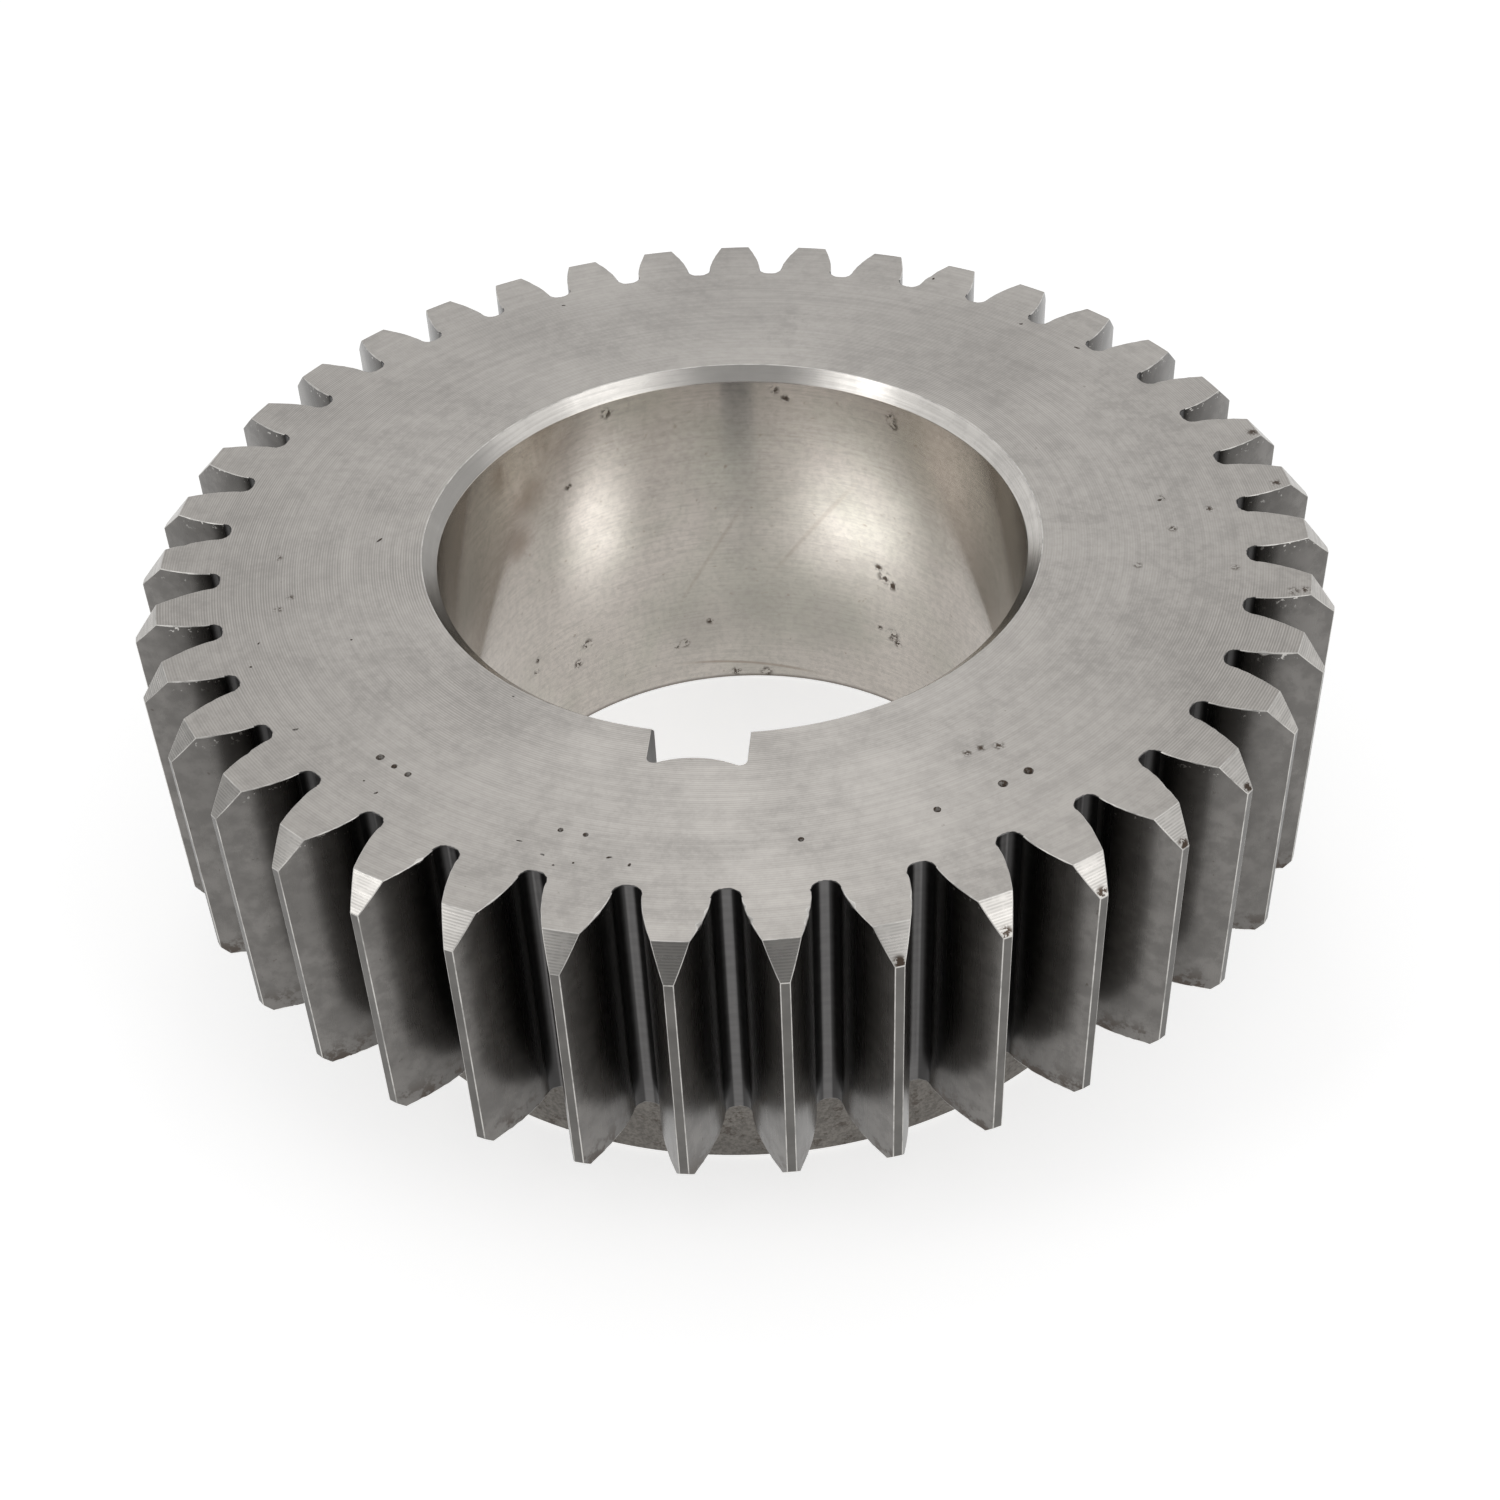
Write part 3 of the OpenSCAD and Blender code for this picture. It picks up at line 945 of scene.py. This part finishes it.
def draw_bore(skin, sizes, edges):
    """Draws the bore with its chamfers and the keyway. Gives its lower and upper loops."""
    soft = edges.bore
    top = sizes.height
    radius = sizes.bore_radius
    chamfer = sizes.bore_chamfer
    lead = sizes.bore_lead
    # Each level: height, bore radius, how far the keyway is opened, and both tilts in degrees
    levels = (
        (0, radius + lead + soft, soft, -90, -90),
        (FACE_MIDDLE * soft, radius + lead, FACE_MIDDLE * soft, -67, -45),
        (soft, radius + lead - soft, 0, -45, 0),
        (lead - soft, radius + soft, 0, -45, 0),
        (lead + WALL_MIDDLE * soft, radius + WALL_MIDDLE * soft, 0, -22, 0),
        (lead + soft, radius, 0, 0, 0),
        (top - chamfer - soft, radius, 0, 0, 0),
        (top - chamfer - WALL_MIDDLE * soft, radius + WALL_MIDDLE * soft, 0, 22, 0),
        (top - chamfer + soft, radius + soft, 0, 45, 0),
        (top - soft, radius + chamfer - soft, 0, 45, 0),
        (top - FACE_MIDDLE * soft, radius + chamfer + FACE_MIDDLE * soft, FACE_MIDDLE * soft,
         67, 45),
        (top, radius + chamfer + soft, soft, 90, 90))
    bands = ("edge", "edge", "bore_chamfer", "bore", "bore", "bore", "bore", "bore",
             "bore_chamfer", "edge", "edge")
    rows = []
    for height, level_r, inset, bore_tilt, key_tilt in levels:
        right, right_normal, arc_start = key_side(sizes, edges, level_r, inset)
        arc = np.exp(1j * np.linspace(arc_start, math.pi - arc_start, ARC_STEPS + 1))
        left = -np.conj(right[:0:-1])
        left_normal = -np.conj(right_normal[:0:-1])
        points = np.concatenate([level_r * arc, left, right])
        normals = np.concatenate([-arc, left_normal, right_normal])
        tilt = np.where(np.arange(len(points)) <= ARC_STEPS, bore_tilt, key_tilt)
        rows.append(skin.add(points, height, normals, np.sin(np.radians(tilt))))
    sides = len(left)
    for number, band in enumerate(bands):
        key_band = "edge" if band == "edge" else "keyway"
        names = [band] * ARC_STEPS + ["edge"] * 2 + [key_band] * (2 * sides - 2) + ["edge"] * 2
        skin.strip(rows[number], rows[number + 1], names)
    return rows[0], rows[-1]


# Steps round the hub, rows up its side and steps of its fillet
HUB_STEPS = 360
HUB_ROWS = 26
HUB_FILLET_STEPS = 8
# Lumps of the forged skin: their height, and over what distance they grow from the foot's
# chamfer and fade at the fillet, with the share that is left where it starts
LUMP = 0.07 * MM
LUMP_GROW = 3 * MM
LUMP_FADE = 2 * MM
LUMP_LEFT = 0.2
# The waves that make them: their number, how many of them run round the hub first and how many
# more each next one does, a whole turn, their lean along the axis and what divides their sum
WAVES = 24
WAVE_FIRST = 3
WAVE_MORE = 2
WAVE_TURN = 6.28
WAVE_LEAN = 2000
WAVE_SUM = 4


def draw_hub(skin, sizes, edges, random):
    """Draws the forged hub side. Gives its loops at the foot and under the rim."""
    around = circle(HUB_STEPS)
    under = sizes.height - sizes.face_width
    draft = sizes.hub_draft
    soft = edges.bore
    foot_r = sizes.hub_radius
    side_top = under - sizes.hub_fillet * (1 - math.sin(draft))
    centre_r = foot_r + side_top * math.tan(draft) + sizes.hub_fillet * math.cos(draft)
    chamfer = sizes.hub_chamfer
    profile = [(foot_r - chamfer - soft, 0, -90), (foot_r - chamfer + soft, soft, -45),
               (foot_r - soft, chamfer - soft, -45)]
    sides = np.linspace(chamfer + soft, side_top, HUB_ROWS)
    profile += [(foot_r + z * math.tan(draft), z, -math.degrees(draft)) for z in sides]
    turns = np.linspace(math.pi - draft, math.pi / 2, HUB_FILLET_STEPS + 1)[1:]
    profile += [(centre_r + sizes.hub_fillet * math.cos(a),
                 under - sizes.hub_fillet + sizes.hub_fillet * math.sin(a),
                 -math.degrees(math.pi - a)) for a in turns]
    waves = random.uniform(-1, 1, (WAVES, 3))
    rows = []
    for radius, z, tilt in profile:
        lumps = sum(part * np.sin((WAVE_FIRST + WAVE_MORE * n) * np.angle(around)
                                  + WAVE_TURN * phase + WAVE_LEAN * lean * z)
                    for n, (part, phase, lean) in enumerate(waves)) / WAVE_SUM
        held = eased((z - chamfer) / LUMP_GROW) * eased((side_top - z) / LUMP_FADE + LUMP_LEFT)
        rows.append(skin.add((radius + LUMP * lumps * held) * around, z, around,
                             math.sin(math.radians(tilt))))
    for number in range(len(rows) - 1):
        skin.strip(rows[number], rows[number + 1], "forged" if number > 1 else "foot")
    return rows[0], rows[-1]


# Punch dots on the toothed face: angle and width in mm, all at one radius
DOTS_RADIUS = 68.1
DOTS = ((-128.7, 1.2), (-126.3, 0.9), (-124.1, 1.0), (-103.8, 0.8), (-100.9, 0.8),
        (-77.4, 0.85), (-61.9, 1.1), (-53.5, 1.4), (-49.9, 1.45))
# Nicks on the same face: radius in mm, angle, length and width in mm, and lie
NICKS = ((73.3, -139.1, 0.9, 0.4, 20), (80.0, 69.1, 0.8, 0.4, 70), (74.6, 45.1, 1.1, 0.4, -30),
         (74.2, 54.1, 0.7, 0.5, 10), (52.9, -175.2, 1.2, 0.4, 60), (73.0, 118.3, 0.8, 0.4, 0),
         (64.8, 8.8, 0.9, 0.5, 40), (71.5, -97.5, 0.9, 0.35, 15), (72.4, -95.2, 0.6, 0.4, 80),
         (71.5, -155.5, 0.7, 0.25, 80), (73.7, -151.7, 0.45, 0.4, 0), (73.2, -124.7, 0.7, 0.35, 40),
         (72.6, -127.1, 0.35, 0.3, 0), (71.6, -107.3, 0.9, 0.25, 165), (73.0, -104.2, 0.7, 0.3, 150),
         (74.4, -102.6, 0.4, 0.3, 0), (73.4, -100.8, 0.4, 0.3, 30), (47.9, -123.8, 0.4, 0.35, 0),
         (59.1, -151.4, 0.4, 0.35, 0))
# Sides, depth and unevenness of both: a dot's depth is a share of its width
DOT_SIDES = 14
DOT_DEPTH = 0.32
DOT_UNEVEN = (0.93, 1.05)
NICK_SIDES = 10
NICK_DEPTH = 0.2 * MM
NICK_UNEVEN = (0.75, 1.2)
# Rings of a dent: size and depth as shares, and the sine of the normal's rise
DENT_RINGS = ((1.0, 0.0, 1.0), (0.82, 0.18, 0.86), (0.45, 0.75, 0.74))


def in_plan(radius, degrees):
    """A point of the plan at a radius in mm and an angle about the axis."""
    return radius * MM * np.exp(1j * math.radians(degrees))


def draw_dent(skin, centre, outline, depth):
    """Draws one dent in the toothed face and gives its loop."""
    inward = -outline / np.abs(outline)
    mouth, wall, inner = (skin.add(centre + outline * scale, HIGH.z - depth * drop, inward, tilt)
                          for scale, drop, tilt in DENT_RINGS)
    bottom = skin.add(np.array([centre]), HIGH.z - depth, np.array([1 + 0j]), 1.0)[0]
    skin.strip(mouth, wall, "dent")
    skin.strip(wall, inner, "dent")
    for i, corner in enumerate(inner):
        skin.face((corner, inner[(i + 1) % len(inner)], bottom), "dent")
    return mouth


def draw_marks(skin, random):
    """Draws the punch dots and nicks and gives their loops."""
    loops = []
    for degrees, width in DOTS:
        ring = circle(DOT_SIDES) * random.uniform(*DOT_UNEVEN, DOT_SIDES)
        loops.append(draw_dent(skin, in_plan(DOTS_RADIUS, degrees), ring * width * MM / 2,
                               DOT_DEPTH * width * MM))
    for radius, degrees, long, wide, lie in NICKS:
        ring = circle(NICK_SIDES)
        uneven = random.uniform(*NICK_UNEVEN, NICK_SIDES)
        oval = (ring.real * long + 1j * ring.imag * wide) * uneven / 2
        loops.append(draw_dent(skin, in_plan(radius, degrees),
                               oval * MM * np.exp(1j * math.radians(lie)), NICK_DEPTH))
    return loops


# Seed of the file marks, the lumps on the hub and the unevenness of the dents
SEED = 39


class GEAR_OT_body(bpy.types.Operator):
    """Draw the gear as one closed skin with its finishes"""

    bl_idname = "gear.body"
    bl_label = "Draw the gear"

    def execute(self, context):
        sizes = context.scene.gear_sizes
        edges = context.scene.gear_edges
        finish = context.scene.gear_finish
        random = np.random.default_rng(SEED)
        skin = Skin()
        under, face = draw_teeth(skin, sizes, edges, random)
        bore_foot, bore_mouth = draw_bore(skin, sizes, edges)
        hub_foot, hub_top = draw_hub(skin, sizes, edges, random)
        marks = draw_marks(skin, random)
        skin.flat([face, bore_mouth, *marks], "face")
        skin.flat([under, hub_top], "forged")
        skin.flat([hub_foot, bore_foot], "foot")
        materials = [finished(make, finish) for make in FINISHES.values()]
        body = bpy.data.objects.new("gear_body", skin.mesh("gear_body", materials))
        context.scene.collection.objects.link(body)
        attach(body, "root")
        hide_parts("gear")
        return {"FINISHED"}


# Side of the floor, and how far it lies below the hub's foot
FLOOR_SIZE = 6.0
FLOOR_GAP = 0.05 * MM
# Each lamp: name, angle about the axis, height angle, width and height in metres
LAMPS = (("lamp_left", -148, 39, 0.27, 0.58), ("lamp_right", -32, 39, 0.42, 0.58),
         ("lamp_back", 97, 51, 0.2, 0.26))
# The unlit sides of the room, as cards: name, angle, height angle, distance, width, height
# and tone
CARDS = (("dark_card", -92, 40, 0.62, 0.44, 0.44, 0.19),
         ("grey_card", 174, 16, 0.8, 0.64, 0.36, 0.5))
# Where the bore's wall throws the lamps' light on the floor, and the shade at the keyway's
# foot: name, place in mm, lie in degrees and half width in mm. The half length and the share
# that is full are the same for all
PATCHES = (("pool", 24 + 11j, -42, 14), ("pool", -22.5 + 6.5j, 32, 24), ("shade", -46j, 90, 11))
PATCH_REACH = 17 * MM
PATCH_CORE = 0.1


def direction(turn, rise):
    """Unit vector towards an angle about the axis and a height angle, in degrees."""
    level = math.cos(math.radians(rise))
    return Vector((level * math.cos(math.radians(turn)), level * math.sin(math.radians(turn)),
                   math.sin(math.radians(rise))))


def aim(thing, turn, rise, distance):
    """Stands an object round the gear, turned to it and unseen by the camera."""
    towards = direction(turn, rise)
    thing.location = towards * distance
    thing.rotation_euler = towards.to_track_quat("Z", "Y").to_euler()
    thing.visible_camera = False


def seen_white(graph):
    """1 for rays from the camera, from mirrors and through glass."""
    seen = None
    for kind in ("Is Camera Ray", "Is Glossy Ray", "Is Transmission Ray"):
        ray = graph.node("ShaderNodeLightPath", output=kind)
        seen = ray if seen is None else graph.math("MAXIMUM", seen, ray)
    return seen


def stage_plane(name, width, height, finish):
    """A flat object of the stage, its face along its own Z, and the nodes of its material."""
    mesh = bpy.data.meshes.new(name)
    x, y = width / 2, height / 2
    mesh.from_pydata([(-x, -y, 0), (x, -y, 0), (x, y, 0), (-x, y, 0)], [], [(0, 1, 2, 3)])
    plane = bpy.data.objects.new(name, mesh)
    bpy.context.scene.collection.objects.link(plane)
    material = bpy.data.materials.new(finish)
    mesh.materials.append(material)
    return plane, Graph(material)


class GEAR_OT_stage(bpy.types.Operator):
    """Set up the floor, the soft lamps and the white world"""

    bl_idname = "gear.stage"
    bl_label = "Set up the studio"

    def execute(self, context):
        look = context.scene.gear_stage
        floor, graph = stage_plane("studio_floor", FLOOR_SIZE, FLOOR_SIZE, "white_floor")
        floor.location.z = LOW.z - FLOOR_GAP
        lit = graph.node("ShaderNodeBsdfDiffuse", None, {"Color": (*look.floor, 1.0)})
        shade = (look.floor_lift,) * 3
        for name, centre, lie, half_width in PATCHES:
            shade = graph.mix(self.patch(graph, centre, lie, half_width * MM), shade,
                              (getattr(look, name),) * 3)
        glow = graph.node("ShaderNodeEmission", None,
                          {"Color": shade, "Strength": seen_white(graph)})
        both = graph.node("ShaderNodeAddShader", None, {0: lit, 1: glow})
        graph.node("ShaderNodeOutputMaterial", None, {"Surface": both})
        for lamp in LAMPS:
            self.lamp(context, *lamp)
        for card in CARDS:
            self.card(*card)
        world = bpy.data.worlds.new("white_studio")
        context.scene.world = world
        graph = Graph(world)
        strength = look.ambient + seen_white(graph) * (1 - look.ambient)
        sky = graph.node("ShaderNodeBackground", None,
                         {"Color": (1.0, 1.0, 1.0, 1.0), "Strength": strength})
        graph.node("ShaderNodeOutputWorld", None, {"Surface": sky})
        context.scene.view_settings.view_transform = "Standard"
        return {"FINISHED"}

    def lamp(self, context, name, turn, rise, width, height):
        """A soft box. Its power follows from its radiance and its area."""
        look = context.scene.gear_stage
        lamp = bpy.data.lights.new(name, "AREA")
        lamp.shape = "RECTANGLE"
        lamp.size = width
        lamp.size_y = height
        lamp.energy = getattr(look, name) * math.pi * width * height
        box = bpy.data.objects.new(name, lamp)
        aim(box, turn, rise, look.lamp_distance)
        context.scene.collection.objects.link(box)

    def patch(self, graph, centre, lie, half_width):
        """1 in the middle of a soft oval on the floor that is seen only in the steel."""
        place = Place(graph)
        turn = math.radians(lie)
        x = place.x - centre.real * MM
        y = place.y - centre.imag * MM
        along = (x * math.cos(turn) + y * math.sin(turn)) / PATCH_REACH
        across = (y * math.cos(turn) - x * math.sin(turn)) / half_width
        gap = (along * along + across * across) ** 0.5
        steel = graph.node("ShaderNodeLightPath", output="Is Glossy Ray")
        return (1 - graph.ramp(gap, PATCH_CORE, 1.0)) * steel

    def card(self, name, turn, rise, distance, width, height, tone):
        """A card that is seen only in the steel."""
        card, graph = stage_plane(name, width, height, name)
        aim(card, turn, rise, distance)
        card.visible_diffuse = False
        card.visible_shadow = False
        shown = graph.node("ShaderNodeEmission", None,
                          {"Color": (tone, tone, tone, 1.0), "Strength": 1.0})
        graph.node("ShaderNodeOutputMaterial", None, {"Surface": shown})


# The camera: distance in metres from the middle of the toothed face, angle about the axis and
# height angle in degrees, its slight turns in radians, its sensor and lens in mm, and the
# nearest that it sees, in metres
CAMERA_DISTANCE = 0.3456
CAMERA_TURN = -83.27
CAMERA_RISE = 35.885
CAMERA_YAW = -0.0035
CAMERA_PITCH = -0.0958
CAMERA_ROLL = 0.0489
SENSOR = 36.0
FOCAL_LENGTH = 55.107
CLIP_START = 0.01


class GEAR_OT_camera(bpy.types.Operator):
    """Place the camera at the photograph's viewing angle"""

    bl_idname = "gear.camera"
    bl_label = "Place the camera"

    def execute(self, context):
        towards = direction(CAMERA_TURN, CAMERA_RISE)
        place = Vector((0, 0, context.scene.gear_sizes.height)) + towards * CAMERA_DISTANCE
        turn = towards.to_track_quat("Z", "Y")
        turn = turn @ Quaternion((0, 1, 0), CAMERA_YAW)
        turn = turn @ Quaternion((1, 0, 0), CAMERA_PITCH)
        turn = turn @ Quaternion((0, 0, -1), CAMERA_ROLL)
        lens = bpy.data.cameras.new("camera")
        lens.sensor_width = SENSOR
        lens.lens = FOCAL_LENGTH
        lens.clip_start = CLIP_START
        camera = bpy.data.objects.new("camera", lens)
        camera.matrix_world = Matrix.LocRotScale(place, turn, None)
        context.scene.collection.objects.link(camera)
        context.scene.camera = camera
        return {"FINISHED"}


class GEAR_PT_panel(bpy.types.Panel):
    """Lists the gear's steps and the values behind them"""

    bl_label = "Transmission gear"
    bl_idname = "GEAR_PT_panel"
    bl_space_type = "VIEW_3D"
    bl_region_type = "UI"
    bl_category = "Gear"

    def draw(self, context):
        for operator in OPERATORS:
            self.layout.operator(operator.bl_idname)
        for name, group in GROUPS.items():
            box = self.layout.box()
            box.label(text=group.__doc__)
            for prop in group.__annotations__:
                box.prop(getattr(context.scene, name), prop)


GROUPS = {
    "gear_sizes": GearSizes, "gear_edges": GearEdges, "gear_finish": GearFinish,
    "gear_stage": StageLook,
}
OPERATORS = (GEAR_OT_body, GEAR_OT_stage, GEAR_OT_camera)


def register():
    for name, group in GROUPS.items():
        bpy.utils.register_class(group)
        setattr(bpy.types.Scene, name, PointerProperty(type=group))
    for operator in OPERATORS:
        bpy.utils.register_class(operator)
    bpy.utils.register_class(GEAR_PT_panel)


def unregister():
    bpy.utils.unregister_class(GEAR_PT_panel)
    for operator in reversed(OPERATORS):
        bpy.utils.unregister_class(operator)
    for name, group in reversed(GROUPS.items()):
        delattr(bpy.types.Scene, name)
        bpy.utils.unregister_class(group)


def main():
    register()
    bpy.ops.gear.body()
    bpy.ops.gear.stage()
    bpy.ops.gear.camera()


if __name__ == "__main__":
    main()
